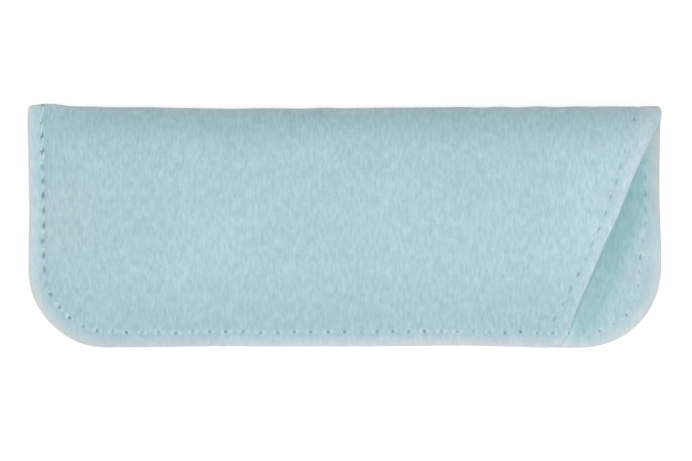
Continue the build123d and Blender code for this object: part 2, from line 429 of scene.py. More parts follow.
# ======== the unrolled blank
FOLD_TURNS = np.linspace(math.pi / 2, 0, 2000)
FOLD_Y = CROWN_Y + (HALF_WIDTH - CROWN_Y) * np.cos(FOLD_TURNS).clip(0) ** (2 / FOLD_FULLNESS)
FOLD_Z = FOLD_RADIUS + (CROWN_HEIGHT - FOLD_RADIUS) * np.sin(FOLD_TURNS)
FOLD_RUNS = np.concatenate([[0], np.cumsum(np.hypot(np.diff(FOLD_Y), np.diff(FOLD_Z)))])
BACK_FOLD_Y = HALF_WIDTH - FOLD_RADIUS
FOLD_MIDDLE = CROWN_Y + FOLD_RUNS[-1]
BACK_START = FOLD_MIDDLE + FOLD_RADIUS * math.pi / 2


def on_front(y):
    """Place up the unrolled blank of a height on the front panel or the fold's front half."""
    return y if y < CROWN_Y else CROWN_Y + float(np.interp(y, FOLD_Y, FOLD_RUNS))


def on_back(y):
    """Place up the unrolled blank of a height on the back panel or the fold's back half."""
    if y < BACK_FOLD_Y:
        return BACK_START + BACK_FOLD_Y - y
    return FOLD_MIDDLE + FOLD_RADIUS * math.acos(min((y - BACK_FOLD_Y) / FOLD_RADIUS, 1.0))


def felt_point(x, up, depth):
    """Points at a depth under the felt's outer face, from their places on the unrolled blank."""
    front_turn = np.interp(up - CROWN_Y, FOLD_RUNS, FOLD_TURNS)
    back_turn = np.clip((up - FOLD_MIDDLE) / FOLD_RADIUS, 0, math.pi / 2)
    stretches = (
        front_face(x, np.minimum(up, CROWN_Y), depth, 0.0),
        fold_front(x, front_turn, depth, 0.0),
        fold_back(x, back_turn, depth, 0.0),
        back_face(x, BACK_START + BACK_FOLD_Y - up, depth, 0.0),
    )
    pick = np.searchsorted([CROWN_Y, FOLD_MIDDLE, BACK_START], up)
    return np.choose(pick[:, None], [np.stack(stretch, -1) for stretch in stretches])


# ======== the blank as one grid
def graded(length, start_step, middle_step, end_step, band=8.0):
    """Fractions along a length, with steps that differ near its ends; their number is always odd."""
    stops = [0.0]
    while stops[-1] < length:
        place = stops[-1]
        step = start_step if place < band else end_step if place > length - band else middle_step
        stops.append(place + step)
    if len(stops) % 2 == 0:
        stops.append(stops[-1] + stops[-1] - stops[-2])
    return np.array(stops) / stops[-1]


def walk(fractions, *stretches):
    """Points at fractions along a path, whose stretches are lengths and point functions."""
    starts = np.cumsum([0, *(length for length, _ in stretches)])
    place = fractions * starts[-1]
    points = np.zeros((len(fractions), 2))
    for start, (length, point) in zip(starts, stretches):
        here = place >= start - 1e-9
        points[here] = point((place[here] - start) / length)
    return points


def straight(start, end):
    """One straight stretch of a path."""
    start, end = np.array(start), np.array(end)
    return np.hypot(*(end - start)), lambda t: start + t[:, None] * (end - start)


def half_corner(side, inset, first, last):
    """Half of a bottom corner's arc, between two angles in degrees down from level."""
    radius = CORNER - inset

    def point(t):
        turn = np.radians(first + (last - first) * t)
        return np.stack([side * (ARC_X + radius * np.cos(turn)), ARC_Y - radius * np.sin(turn)], 1)

    return radius * abs(math.radians(last - first)), point


def patch(low, high, left, right, u, v):
    """Points of a four-sided patch from its four edges."""
    u, v = u[None, :, None], v[:, None, None]
    corners = (1 - v) * ((1 - u) * low[0] + u * low[-1]) + v * ((1 - u) * high[0] + u * high[-1])
    return (1 - v) * low[None] + v * high[None] + (1 - u) * left[:, None] + u * right[:, None] - corners


def clipped_corner(y, radius):
    """How far a rounded top corner pulls the end of the case in."""
    over = np.clip(y - (HALF_WIDTH - radius), 0, radius)
    return radius - np.sqrt(radius**2 - over**2)


class Blank:
    """Grid over the felt blank: front panel from its bottom edge, fold, then back panel downwards."""

    def __init__(self, column_steps, front_steps, fold_step, back_steps):
        self.u = graded(2 * HALF_LENGTH, *column_steps)
        self.front_v = graded(CROWN_Y + HALF_WIDTH, *front_steps)
        self.back_v = graded(2 * HALF_WIDTH - FOLD_RADIUS, *back_steps)[1:]
        count = 2 * round(FOLD_RUNS[-1] / fold_step / 2) + 1
        self.front_run = np.linspace(0, FOLD_RUNS[-1], count)[1:]
        self.front_phi = np.interp(self.front_run, FOLD_RUNS, FOLD_TURNS)
        back_count = 2 * round((BACK_START - FOLD_MIDDLE) / fold_step / 2) + 1
        self.back_phi = np.linspace(0, math.pi / 2, back_count)[1:]

    def points(self, inset, depth, relief):
        """Points in mm, and their unrolled places, with the cut edge moved in by inset."""
        slant = inset / math.cos(MOUTH_ANGLE)
        low_y, left_x, right_x = -HALF_WIDTH + inset, -HALF_LENGTH + inset, HALF_LENGTH - inset
        foot = (mouth_x(low_y) - slant, low_y)
        lip_top = (mouth_x(CROWN_Y) - slant, CROWN_Y)
        u, v = self.u, self.front_v

        low = walk(u, half_corner(-1, inset, 45, 90), straight((-ARC_X, low_y), foot))
        left = walk(v, half_corner(-1, inset, 45, 0), straight((left_x, ARC_Y), (left_x, CROWN_Y)))
        high = walk(u, straight((left_x, CROWN_Y), lip_top))
        right = walk(v, straight(foot, lip_top))
        front = patch(low, high, left, right, u, v)

        def across(y, furthest):
            start = left_x + clipped_corner(y, CLOSED_TOP_RADIUS)
            end = np.minimum(furthest, right_x - clipped_corner(y, MOUTH_TOP_RADIUS))
            return start[:, None] + (end - start)[:, None] * u

        y = CROWN_Y + (HALF_WIDTH - CROWN_Y) * np.cos(self.front_phi) ** (2 / FOLD_FULLNESS)
        fold_x = across(y, mouth_x(y) - slant)
        under_x = across(BACK_FOLD_Y + FOLD_RADIUS * np.cos(self.back_phi), right_x)

        v = np.concatenate([[0], self.back_v])
        bottom = straight((-ARC_X, low_y), (ARC_X, low_y))
        high = walk(u, half_corner(-1, inset, 45, 90), bottom, half_corner(1, inset, 90, 45))
        low = walk(u, straight((left_x, BACK_FOLD_Y), (right_x, BACK_FOLD_Y)))
        left = walk(v, straight((left_x, BACK_FOLD_Y), (left_x, ARC_Y)), half_corner(-1, inset, 0, 45))
        right = walk(v, straight((right_x, BACK_FOLD_Y), (right_x, ARC_Y)), half_corner(1, inset, 0, 45))
        back = patch(low, high, left, right, u, v)[1:]

        rows = [np.stack(front_face(front[..., 0], front[..., 1], depth, relief), -1)]
        plan = [front]
        unrolled = [front[..., 1]]
        for face, x, phi, up in (
            (fold_front, fold_x, self.front_phi, CROWN_Y + self.front_run),
            (fold_back, under_x, self.back_phi, FOLD_MIDDLE + FOLD_RADIUS * self.back_phi),
        ):
            rows.append(np.stack(face(x, phi[:, None], depth, relief), -1))
            plan.append(np.stack([x, rows[-1][..., 1]], -1))
            unrolled.append(up[:, None] + 0 * x)
        rows.append(np.stack(back_face(back[..., 0], back[..., 1], depth, relief), -1))
        plan.append(back)
        unrolled.append(BACK_START + BACK_FOLD_Y - back[..., 1])
        return np.concatenate(rows), np.concatenate(plan), np.concatenate(unrolled)


def grid_faces(index, order=(0, 1, 2, 3)):
    """Four-sided faces of a grid of point numbers, with their corners in an order."""
    corners = [index[:-1, :-1], index[:-1, 1:], index[1:, 1:], index[1:, :-1]]
    return np.stack([corners[k] for k in order], -1).reshape(-1, 4).tolist()


def border(rows, columns):
    """Row and column of each point round a grid's edge, in order."""
    j = [0] * columns + list(range(1, rows)) + [rows - 1] * (columns - 1) + list(range(rows - 2, 0, -1))
    i = list(range(columns)) + [columns - 1] * (rows - 1) + list(range(columns - 2, -1, -1))
    return np.array(j), np.array(i + [0] * (rows - 2))


def closed_sheet(name, blank, fine_depth, hidden_depth, edge_inset, rounding, relief):
    """A closed sheet: a fine face, a rounded cut edge, and a coarser face that nothing shows."""
    inward = 1 if hidden_depth > fine_depth else -1
    thickness = abs(hidden_depth - fine_depth)
    rim = [
        (edge_inset + rounding * (1 - math.sin(turn)), rounding * (1 - math.cos(turn)))
        for turn in np.linspace(0, math.pi / 2, EDGE_STEPS)
    ]
    rim += [(inset, thickness - deep) for inset, deep in rim[::-1]]
    layers = []
    for inset, deep in rim:
        depth = fine_depth + inward * deep
        points, plan, unrolled = blank.points(inset, depth, relief * (1 - deep / thickness))
        layers.append(np.concatenate([points, plan, np.stack([unrolled, 0 * unrolled + depth], -1)], -1))
    rows, columns, parts = layers[0].shape
    j, i = border(rows, columns)
    values = [layers[0].reshape(-1, parts), *(layer[j, i] for layer in layers[1:-1])]
    first = sum(map(len, values))
    values = np.concatenate([*values, layers[-1][::2, ::2].reshape(-1, parts)])

    index = np.arange(rows * columns).reshape(rows, columns)
    faces = grid_faces(index)
    rings = [index[j, i], *np.arange(rows * columns, first).reshape(-1, len(j))]
    for one, two in zip(rings, rings[1:]):
        faces += np.stack([np.roll(one, -1), one, two, np.roll(two, -1)], -1).tolist()
    half_rows, half_columns = (rows + 1) // 2, (columns + 1) // 2
    coarse = np.arange(first, len(values)).reshape(half_rows, half_columns)
    faces += grid_faces(coarse, (0, 3, 2, 1))
    last, inner = rings[-1], coarse[border(half_rows, half_columns)]
    for k, (here, after) in enumerate(zip(inner, np.roll(inner, -1))):
        a, b, c = last[2 * k], last[2 * k + 1], last[(2 * k + 2) % len(last)]
        faces += [[b, a, here, after], [c, b, after]]

    sheet = mesh_object(name, values[:, :3], faces)
    x, y, up, depth = values[:, 3:].T
    add_attribute(sheet, "flat", x * MM, up * MM, depth * MM)
    front = up < FOLD_MIDDLE
    along, away = seam_place(x, y)
    sewn = along < np.where(front, FRONT_SEAM_END, BACK_SEAM_END) + SEWING_END
    beside_seam = ~front | (along < FRONT_SEAM_END + SEWING_END)
    to_edge = np.where(beside_seam, away + seam_drift(along) + STITCH_INSET, FAR)
    add_attribute(sheet, "seam", seam_count(along), np.where(sewn, away, FAR), to_edge)
    along, away = mouth_place(x, y)
    inside = away + np.polyval(MOUTH_BOW, along)
    add_attribute(sheet, "mouth", mouth_count(along), np.where(front, away, FAR), inside)
    return sheet


def new_object(name, data):
    """An object put into the scene."""
    thing = bpy.data.objects.new(name, data)
    bpy.context.scene.collection.objects.link(thing)
    return thing


def mesh_object(name, points, faces, smooth_faces=True):
    """A mesh object in the frame's own axes, from points in mm."""
    mesh = bpy.data.meshes.new(name)
    mesh.from_pydata((np.asarray(points) * MM).tolist(), [], faces)
    mesh.validate()
    mesh.polygons.foreach_set("use_smooth", [smooth_faces] * len(mesh.polygons))
    mesh.update()
    return new_object(name, mesh)


def add_attribute(thing, name, *values):
    """Three numbers on each of a mesh's points, for its material."""
    attribute = thing.data.attributes.new(name, "FLOAT_VECTOR", "POINT")
    attribute.data.foreach_set("vector", np.stack(values, -1).astype(np.float32).ravel())


def face_outward(thing):
    """Turns the faces of a closed mesh to point outwards."""
    work = bmesh.new()
    work.from_mesh(thing.data)
    bmesh.ops.recalc_face_normals(work, faces=work.faces)
    work.to_mesh(thing.data)
    work.free()


# ======== sewing thread
def twisted(path, radius):
    """Points and faces of a thread of twisted plies along a path."""
    tangent = np.gradient(path, axis=0)
    tangent /= np.linalg.norm(tangent, axis=1)[:, None]
    chord = path[-1] - path[0]
    side = np.cross(chord, (0, 0, 1.0))
    side /= np.linalg.norm(side)
    upward = np.cross(side, tangent)
    run = np.concatenate([[0], np.cumsum(np.linalg.norm(np.diff(path, axis=0), axis=1))])
    ply_radius = radius * PLY_SHARE
    lay_radius = radius - ply_radius
    points, faces = [], []
    for ply in range(PLIES):
        turn = math.tau * (run / TWIST_LENGTH + ply / PLIES)
        centre = path + lay_radius * (np.cos(turn)[:, None] * side + np.sin(turn)[:, None] * upward)
        ring = []
        for angle in np.arange(PLY_SIDES) * math.tau / PLY_SIDES:
            ring.append(centre + ply_radius * (math.cos(angle) * side + math.sin(angle) * upward))
        points.append(np.stack(ring, 1).reshape(-1, 3))
        index = ply * len(points[0]) + np.arange(len(points[0])).reshape(-1, PLY_SIDES)
        faces += grid_faces(np.concatenate([index, index[:, :1]], 1))
        faces += [index[0, ::-1].tolist(), index[-1].tolist()]
    return np.concatenate(points), faces


def at_closed_end(start, end):
    """Whether a stitch lies on the closed end's straight run."""
    return max(start[0], end[0]) < CLOSED_END_ROW_X + 0.5


def stitch_path(start, end, face):
    """A slanted stitch from hole to hole: down into the felt at its ends, flat between them."""
    start, end = np.array(start), np.array(end)
    length = np.linalg.norm(end - start)
    across = np.array([start[1] - end[1], end[0] - start[0]]) / length
    share = np.linspace(0, 1, STITCH_POINTS)
    to_end = np.minimum(share, 1 - share) * length
    rise = -STITCH_DIP * (1 - smooth(to_end / (3 * STITCH_END))) ** DIP_POWER
    place = (share - 0.5) * (1 - 2 * STITCH_END / length) + 0.5
    slant = CLOSED_END_SLANT if at_closed_end(start, end) else STITCH_SLANT
    lean = slant * np.sin((0.5 - share) * math.pi)
    spots = start + place[:, None] * (end - start) + lean[:, None] * across
    return face(spots[:, 0], spots[:, 1], rise)


def stitches(name, holes, face):
    """One run of stitches, as one mesh, through a row of holes."""
    points, faces, total = [], [], 0
    for start, end in zip(holes, holes[1:]):
        radius = CLOSED_END_THREAD if at_closed_end(start, end) else THREAD_RADIUS
        stitch_points, stitch_faces = twisted(stitch_path(start, end, face), radius)
        faces += [[total + k for k in f] for f in stitch_faces]
        points.append(stitch_points)
        total += len(stitch_points)
    return mesh_object(name, np.concatenate(points), faces)


def thread_outside(x, up, rise):
    """Thread in the felt's outer face: proud at the top of the closed end, buried further along."""
    closed_end = smooth((CLOSED_END_ROW_X + 1.5 - x) / 1.2)
    sunk = THREAD_SINK * smooth((PROUD_STITCHES_END - up) / SINK_FADE)
    depth = THREAD_BURIED + (THREAD_PROUD + sunk - THREAD_BURIED) * closed_end
    return felt_point(x, up, depth - rise)


def thread_beside_mouth(x, up, rise):
    """Thread hidden in the nap beside the slanted edge, as far as the back of the fold."""
    return felt_point(x, up, THREAD_HIDDEN - rise)


def thread_underneath(x, up, rise):
    """Thread in the back panel's outer face, clear of what the case lies on."""
    radius = CLOSED_END_THREAD if x.max() < CLOSED_END_ROW_X + 1.0 else THREAD_RADIUS
    return felt_point(x, up, radius + CLEARANCE - rise)


def thread_inside(x, up, rise):
    """Thread hidden in the nap of the inner face."""
    return felt_point(x, up, WALL - THREAD_HIDDEN + rise)


def thread_at_foot(x, up, rise):
    """The one stitch that steps down from the front panel's edge to the tab."""
    share = smooth((x - x[0]) / (x[-1] - x[0]) * FOOT_STEP[0] - FOOT_STEP[1])[:, None]
    low = thread_inside(x, BACK_START + BACK_FOLD_Y - up, rise)
    return (1 - share) * thread_outside(x, up, rise) + share * low


def thread_runs():
    """Each run of thread: its name, the CAD node it stands for, its holes and the face it lies in."""
    holes = [seam_point(seam_distance(k)) for k in range(int(seam_count(BACK_SEAM_END)) + 1)]
    foot = next(k for k, hole in enumerate(holes) if hole[0] > mouth_x(hole[1]))
    step_up = (MOUTH_STITCH_TOP[0] - MOUTH_STITCH_FOOT[0]) / MOUTH_STITCHES
    lip = [mouth_point(MOUTH_STITCH_FOOT[0] + k * step_up) for k in range(MOUTH_STITCHES + 1)]
    front = [(x, on_front(y)) for x, y in holes[:foot]]
    back = [(x, on_back(y)) for x, y in holes]
    lip = [(x, on_front(y)) for x, y in lip]
    mouth = [*lip, *np.linspace(lip[-1], back[-1], FOLD_STITCHES + 1)[1:]]
    return (
        ("seam_stitches", "seam_needle_thread", front, thread_outside),
        ("foot_stitch", "seam_needle_thread", holes[foot - 1 : foot + 1], thread_at_foot),
        ("tab_stitches", "tab_needle_thread", back[foot:], thread_inside),
        ("seam_under_stitches", "seam_bobbin_thread", back[: foot + 1], thread_underneath),
        ("tab_under_stitches", "tab_bobbin_thread", back[foot:], thread_underneath),
        ("mouth_stitches", "mouth_needle_thread", mouth, thread_beside_mouth),
        ("mouth_under_stitches", "mouth_bobbin_thread", lip[1:-1], thread_inside),
    )


# ======== loose fibres
def loose_fibres(name, sheet, weigh, count, length, seed):
    """Short tapered fibres that stand out of a sheet, more of them where weigh says so."""
    rng = np.random.default_rng(seed)
    mesh = sheet.data
    areas, centres, normals = (np.zeros(len(mesh.polygons) * size) for size in (1, 3, 3))
    for key, numbers in (("area", areas), ("center", centres), ("normal", normals)):
        mesh.polygons.foreach_get(key, numbers)
    centres, normals = centres.reshape(-1, 3) / MM, normals.reshape(-1, 3)
    weight = areas * weigh(centres, normals)
    picked = rng.choice(len(areas), count, p=weight / weight.sum())
    spread = np.sqrt(areas[picked])[:, None] / MM
    normal = normals[picked]
    jitter = rng.uniform(-0.5, 0.5, (count, 3)) * spread
    root = centres[picked] + jitter - (jitter * normal).sum(1)[:, None] * normal
    lean = rng.normal(size=(count, 3))
    lean -= (lean * normal).sum(1)[:, None] * normal
    lean /= np.linalg.norm(lean, axis=1)[:, None]
    droop = rng.normal(size=(count, 3)) * 0.5
    tall = length * rng.uniform(*FIBRE_SPREAD, count)[:, None]
    rise, away = rng.uniform(*FIBRE_RISE, (count, 1)), rng.uniform(*FIBRE_LEAN, (count, 1))
    middle = root + tall * (0.55 * rise * normal + 0.45 * away * lean)
    tip = middle + tall * (0.3 * rise * normal + 0.5 * away * lean + 0.25 * droop)
    across = np.cross(lean, normal)
    rings = []
    ends = ((root - FIBRE_ROOT * normal, FIBRE_RADIUS), (middle, FIBRE_RADIUS * FIBRE_TAPER))
    for centre, radius in ends:
        for angle in (0, math.tau / 3, 2 * math.tau / 3):
            rings.append(centre + radius * (math.cos(angle) * across + math.sin(angle) * normal))
    points = np.stack([*rings, tip], 1)
    pattern = [(0, 1, 4, 3), (1, 2, 5, 4), (2, 0, 3, 5), (3, 4, 6), (4, 5, 6), (5, 3, 6), (2, 1, 0)]
    faces = [[7 * k + corner for corner in face] for k in range(count) for face in pattern]
    fibres = mesh_object(name, points.reshape(-1, 3), faces, False)
    fibres.data.materials.append(fibre_material())
    return fibres


def near_cut_edge(centres, normals):
    """Most fibres stand out of the cut edges, whose faces look sideways, but none reach the ground."""
    sideways = smooth(1.2 - 1.4 * np.abs(normals[:, 2]))
    clear_of_ground = centres[:, 2] > GROUND_CLEARANCE
    return np.where(centres[:, 1] > HALF_WIDTH - 2.5, 0.4, 1.0) * sideways * clear_of_ground


def on_faces(centres, normals):
    """A few fibres stand out of the upper faces and the fold."""
    return smooth(normals[:, 2] + 0.4) * (centres[:, 2] > GROUND_CLEARANCE)


# ======== materials
def linear(red, green, blue):
    """Linear colour from 8-bit screen values."""
    screen = [c / 255 for c in (red, green, blue)]
    return tuple(c / 12.92 if c <= 0.04045 else ((c + 0.055) / 1.055) ** 2.4 for c in screen) + (1.0,)


AQUA_DEEP = linear(156, 187, 195)
AQUA_PALE = linear(184, 210, 217)
LAVENDER = linear(172, 192, 208)
THREAD_SHADE = linear(186, 213, 218)
THREAD_COLOUR = linear(208, 229, 232)
WHITE = (1.0, 1.0, 1.0, 1.0)

# Layers of the nap: scale per metre, stretch up the blank, detail, roughness and seed.
STREAKS = (1300, 0.3, 3.0, 0.5, 0.0)
FINE_NAP = (4200, 0.4, 2.0, 0.6, 3.1)
TUFTS = (430, 0.6, 2.0, 0.5, 7.7)
CLOUDS = (60, 1.0, 2.0, 0.5, 1.9)
HAIRS = (2400, 0.3, 1.0, 0.5, 9.4)
SPECKS = (1500, 0.5, 1.0, 0.5, 12.3)
LAVENDER_PATCHES = (130, 1.0, 1.0, 0.5, 5.3)
HAIR_WIDTH = 0.035
HAIR_SHADE = 0.3
EDGE_CALM = 0.55

# Zones of the felt: the name of a place, two spots on it, and the strengths there where they aren't 0 and
# 1. Spots are in mm, but on seam_run and mouth_run they are stitches. A mask is a zone with a name.
MASKS = {
    "margin": ("to_edge", STITCH_INSET - 0.3, -0.4),
    "inner": ("to_edge", STITCH_INSET - 1.5, STITCH_INSET + 1),
    "outer": ("to_edge", STITCH_INSET + 0.5, 1),
    "surface": ("deep", 0.4, 1.2, 1, 0.4),
}
# painted shade above the bottom seam, on the felt and the lining
LOW_PAINTED_SHADE = (0.925, 0.935, 0.925)
LOW_FADE = ("inside", 1, 14, 0.5, 1)
FOLD_FADES = (("inside", 1, 9, 0.35, 1), ("x", -83, -64, 0.25, 1))
LIP_FADES = (("from_fold", 7, 20, 0.3, 1), ("mouth_run", -1, 8, 0.05, 1))

# Tints: a colour factor, then the masks and zones whose product says where it applies.
SHARED_TINTS = (
    # painted shade in a band round the fold, where it turns away from the light, and painted light on the
    # fold's outermost line
    ((0.885, 0.915, 0.90), ("from_fold", 6, 15, 1, 0), "inner", *FOLD_FADES),
    ((1.19, 1.03, 1.02), ("from_fold", 4.2, 2.2)),
    # greyer felt half-way up the closed end
    ((1.07, 1.015, 1.0), ("x", -58, -74), ("up", 16, 6), ("up", -12, -4), "inner"),
    # painted light on the cut edge, standing in for the sheen of its fuzz and the glow of the white ground
    # round it; a warmer, greyer rim right at the edge; and more painted light on its stretch at the closed
    # end
    ((1.34, 1.14, 1.11), "margin", "surface"),
    ((1.055, 0.96, 0.94), ("to_edge", 1.4, 0.2), "surface"),
    ((1.05, 1.04, 1.025), ("x", -80.8, -82.2), "surface"),
    # painted light along the slanted edge, as on the cut edges
    ((1.16, 1.06, 1.07), ("to_row", -4.2, 0, 1, 0), "off_margin", ("mouth_run", 1, 12, 0.6, 1)),
    # painted shade in the crease that the tight seam pulls at the closed end
    ((0.89, 0.97, 0.965), ("from_seam", 1.1, 0.4), ("seam_run", LEFT_COUNT + 2, LEFT_COUNT - 1)),
)
FELT_TINTS = (
    # painted shade above the bottom seam, and painted light on a zone beside the mouth
    (LOW_PAINTED_SHADE, ("up", -8, -26), "inner", LOW_FADE),
    ((1.12, 1.085, 1.075), ("inside", 26, 5), *LIP_FADES),
)
LINING_TINTS = (
    # painted shade on the lining above the bottom seam, and painted light lifting the whole lining
    (LOW_PAINTED_SHADE, ("up", -16, -26), "inner", LOW_FADE),
    ((1.06, 1.035, 1.025),),
    # painted shade in the pocket, teal as the light bounced inside it is; painted light lifting the shadow
    # on the strip under the lip; and painted light on the tab's edge, which the lip shades
    ((0.70, 0.86, 0.85), ("inside", -10, -3.5), "inner", ("mouth_run", -1, 5, 0.55, 1)),
    ((1.16, 1.11, 1.10), ("inside", -2.6, -0.2)),
    ((1.12, 1.07, 1.05), ("mouth_run", 7, 12, 0.4, 1), "margin"),
)
# The cut edge's cast along the seam: first and last stitch of each stretch, and its colour factor.
CAST_FADE = 1.5
EDGE_CASTS = (
    (11.5, 15, (1.07, 1.0, 0.96)),
    (15, 25, (0.97, 0.94, 0.92)),
    (30, 46, (1.05, 0.99, 0.98)),
    (47.5, 54.5, (1.12, 1.03, 1.01)),
    (56, 66, (0.94, 0.90, 0.87)),
)

# Painted shade in the needle holes, and a ring of painted highlight round each of them.
NEEDLE_HOLE_SHADE = (0.40, 0.46, 0.48)
HOLE_RING_HIGHLIGHT = (1.28, 1.17, 1.14)
STRAY_ALONG = 0.2
STRAY_ACROSS = 0.14
HOLE_DARKNESS = (0.3, 0.85)
HOLE_REACH = (0.2, 0.62)
RING_START = (0.45, 0.7)
RING_END = (1.9, 0.9)
RING_ACROSS = (0.3, 0.85)
SLIT_NARROWING = 1.5
SLIT_SQUEEZE = 0.42
TAB_SQUEEZE = 0.5
HOLE_HEIGHT = 1.5

FELT_FINISH = {
    "Roughness": 0.95,
    "Specular IOR Level": 0.12,
    "Sheen Weight": 0.3,
    "Sheen Roughness": 0.5,
    "Sheen Tint": (0.85, 0.97, 1.0, 1.0),
}
THREAD_FINISH = {"Roughness": 0.7, "Specular IOR Level": 0.3, "Sheen Weight": 0.2}
FIBRE_FINISH = {"Roughness": 0.8, "Specular IOR Level": 0.2}
PAPER_FINISH = {
    "Base Color": (0.5, 0.5, 0.5, 1.0),
    "Roughness": 0.9,
    "Specular IOR Level": 0.1,
    "Emission Color": WHITE,
    "Emission Strength": 0.62,
}


class Nodes:
    """Short way to add and join a material's shader nodes."""

    def __init__(self, name):
        self.material = bpy.data.materials.new(name)
        self.material.use_nodes = True
        self.tree = self.material.node_tree
        self.shader = self.tree.nodes["Principled BSDF"]

    def add(self, kind, inputs=(), **settings):
        """A node with some settings, and with its inputs set or joined."""
        node = self.tree.nodes.new(kind)
        for key, value in settings.items():
            setattr(node, key, value)
        for key, value in dict(inputs).items():
            self.put(node.inputs[key], value)
        return node

    def put(self, socket, value):
        if isinstance(value, bpy.types.NodeSocket):
            self.tree.links.new(value, socket)
        else:
            socket.default_value = value

    def math(self, operation, *values):
        return self.add("ShaderNodeMath", enumerate(values), operation=operation).outputs[0]

    def times(self, product, *values):
        """Product of several values."""
        for value in values:
            product = self.math("MULTIPLY", product, value)
        return product

    def plus(self, total, *values):
        """Sum of several values."""
        for value in values:
            total = self.math("ADD", total, value)
        return total

    def apart(self, one, two):
        """Distance between two values."""
        return self.math("ABSOLUTE", self.math("SUBTRACT", one, two))

    def ramp(self, value, low, high, out_low=0.0, out_high=1.0):
        """Smooth change from one value to another between two inputs."""
        numbers = enumerate((value, low, high, out_low, out_high))
        return self.add("ShaderNodeMapRange", numbers, interpolation_type="SMOOTHSTEP").outputs[0]

    def noise(self, vector, scale, stretch=1.0, detail=2.0, roughness=0.5, seed=0.0):
        """Noise of a scale in cycles per metre, stretched along Y."""
        scales, start = (scale, scale * stretch, scale), (seed, 2 * seed, 3 * seed)
        mapping = self.add("ShaderNodeMapping", {"Vector": vector, "Scale": scales, "Location": start})
        numbers = {"Scale": 1.0, "Detail": detail, "Roughness": roughness, "Vector": mapping.outputs[0]}
        return self.add("ShaderNodeTexNoise", numbers).outputs["Fac"]

    def mix(self, factor, one, two, blend="MIX"):
        inputs = {0: factor, 6: one, 7: two}
        return self.add("ShaderNodeMix", inputs, data_type="RGBA", blend_type=blend).outputs[2]

    def split(self, vector):
        return self.add("ShaderNodeSeparateXYZ", {0: vector}).outputs

    def vector(self, name):
        return self.add("ShaderNodeAttribute", attribute_name=name).outputs["Vector"]

    def bump(self, height, strength, distance):
        """Bumps in the surface; the distance is in mm."""
        numbers = {"Strength": strength, "Distance": distance * MM, "Height": height}
        self.put(self.shader.inputs["Normal"], self.add("ShaderNodeBump", numbers).outputs[0])

    def finish(self, numbers, colour=None):
        """Sets the shader's own sockets, joins its colour and returns the material."""
        for name, value in numbers.items():
            self.shader.inputs[name].default_value = value
        if colour is not None:
            self.put(self.shader.inputs["Base Color"], colour)
        return self.material


class FeltNodes(Nodes):
    """Nodes of brushed felt, with its places and masks by name, and a colour to tint."""

    def __init__(self, name):
        super().__init__(name)
        self.flat, seam, mouth = map(self.vector, ("flat", "seam", "mouth"))
        names = ("x", "up", "deep", "seam_run", "to_seam", "to_edge", "mouth_run", "to_row", "inside")
        values = (*self.split(self.flat), *self.split(seam), *self.split(mouth))
        self.places = dict(zip(names, values))
        self.places["from_fold"] = self.apart(self.places["up"], FOLD_MIDDLE * MM)
        self.places["from_seam"] = self.apart(self.places["to_seam"], 0.0)
        for mask, zone in MASKS.items():
            self.places[mask] = self.zone(zone)
        self.places["off_margin"] = self.math("SUBTRACT", 1.0, self.places["margin"])

    def zone(self, zone):
        """A zone's ramp; a mask's name stands for its ramp, and a value for itself."""
        if isinstance(zone, str):
            return self.places[zone]
        if not isinstance(zone, tuple):
            return zone
        name, low, high, *strengths = zone
        unit = MM if name in ("x", "up", "deep", "from_fold") else 1.0
        return self.ramp(self.places[name], low * unit, high * unit, *strengths)

    def tint(self, factor, *zones):
        """Multiplies the colour by a factor where all of some zones are 1."""
        mask = self.times(1.0, *map(self.zone, zones))
        self.colour = self.mix(mask, self.colour, (*factor, 1.0), "MULTIPLY")

    def holes(self, run, away, last, strength, squeeze, narrow):
        """How much painted shade the needle holes put on each place, and how strong the ring of painted
        highlight round each is.

        A squeeze below 1 draws the holes out along their row, and a narrow above 1 slims them across it.
        """
        count, away = self.places[run], self.places[away]
        nearest = self.math("MINIMUM", self.math("MAXIMUM", self.math("ROUND", count), 0.0), last)
        chance = self.add("ShaderNodeTexWhiteNoise", {"W": nearest}, noise_dimensions="1D")
        along, across, paleness = self.split(chance.outputs["Color"])
        beside = self.times(self.math("SUBTRACT", count, nearest), SEAM_PITCH)
        beside = self.plus(beside, self.ramp(along, 0.0, 1.0, -STRAY_ALONG, STRAY_ALONG))
        away = self.plus(away, self.ramp(across, 0.0, 1.0, -STRAY_ACROSS, STRAY_ACROSS))
        beside, across = self.times(beside, squeeze), self.times(away, narrow)
        squares = [self.math("POWER", distance, 2.0) for distance in (beside, across)]
        reach = self.math("SQRT", self.plus(*squares))
        darkness = self.ramp(chance.outputs["Value"], 0.0, 1.0, *(strength * d for d in HOLE_DARKNESS))
        hole = self.times(self.ramp(reach, *HOLE_REACH, 1.0, 0.0), darkness)
        near_row = self.ramp(self.apart(away, 0.0), *RING_ACROSS, 1.0, 0.0)
        ring = self.times(self.ramp(reach, *RING_START), self.ramp(reach, *RING_END), near_row)
        return hole, self.times(ring, self.ramp(paleness, 0.0, 1.0, 0.2, 1.0))


def felt_nap(nodes):
    """Light and dark of brushed felt, about 0, and the same nap as a height."""
    layers = (STREAKS, FINE_NAP, TUFTS, CLOUDS, HAIRS, SPECKS)
    streaks, fine, tufts, clouds, thin, specks = (nodes.noise(nodes.flat, *layer) for layer in layers)
    hairs = nodes.ramp(nodes.apart(thin, 0.5), 0.0, HAIR_WIDTH, 1.0, 0.0)
    shade = nodes.times(hairs, HAIR_SHADE)
    for layer, weight in ((streaks, 1.0), (fine, 0.45), (tufts, 0.45), (clouds, 0.25)):
        shade = nodes.plus(shade, nodes.ramp(layer, 0.28, 0.72, -0.5 * weight, 0.5 * weight))
    shade = nodes.plus(shade, nodes.ramp(specks, 0.22, 0.36, -0.8, 0.04))
    height = nodes.plus(streaks, nodes.times(fine, 0.5), nodes.times(tufts, 0.9), nodes.times(hairs, 0.25))
    return shade, height


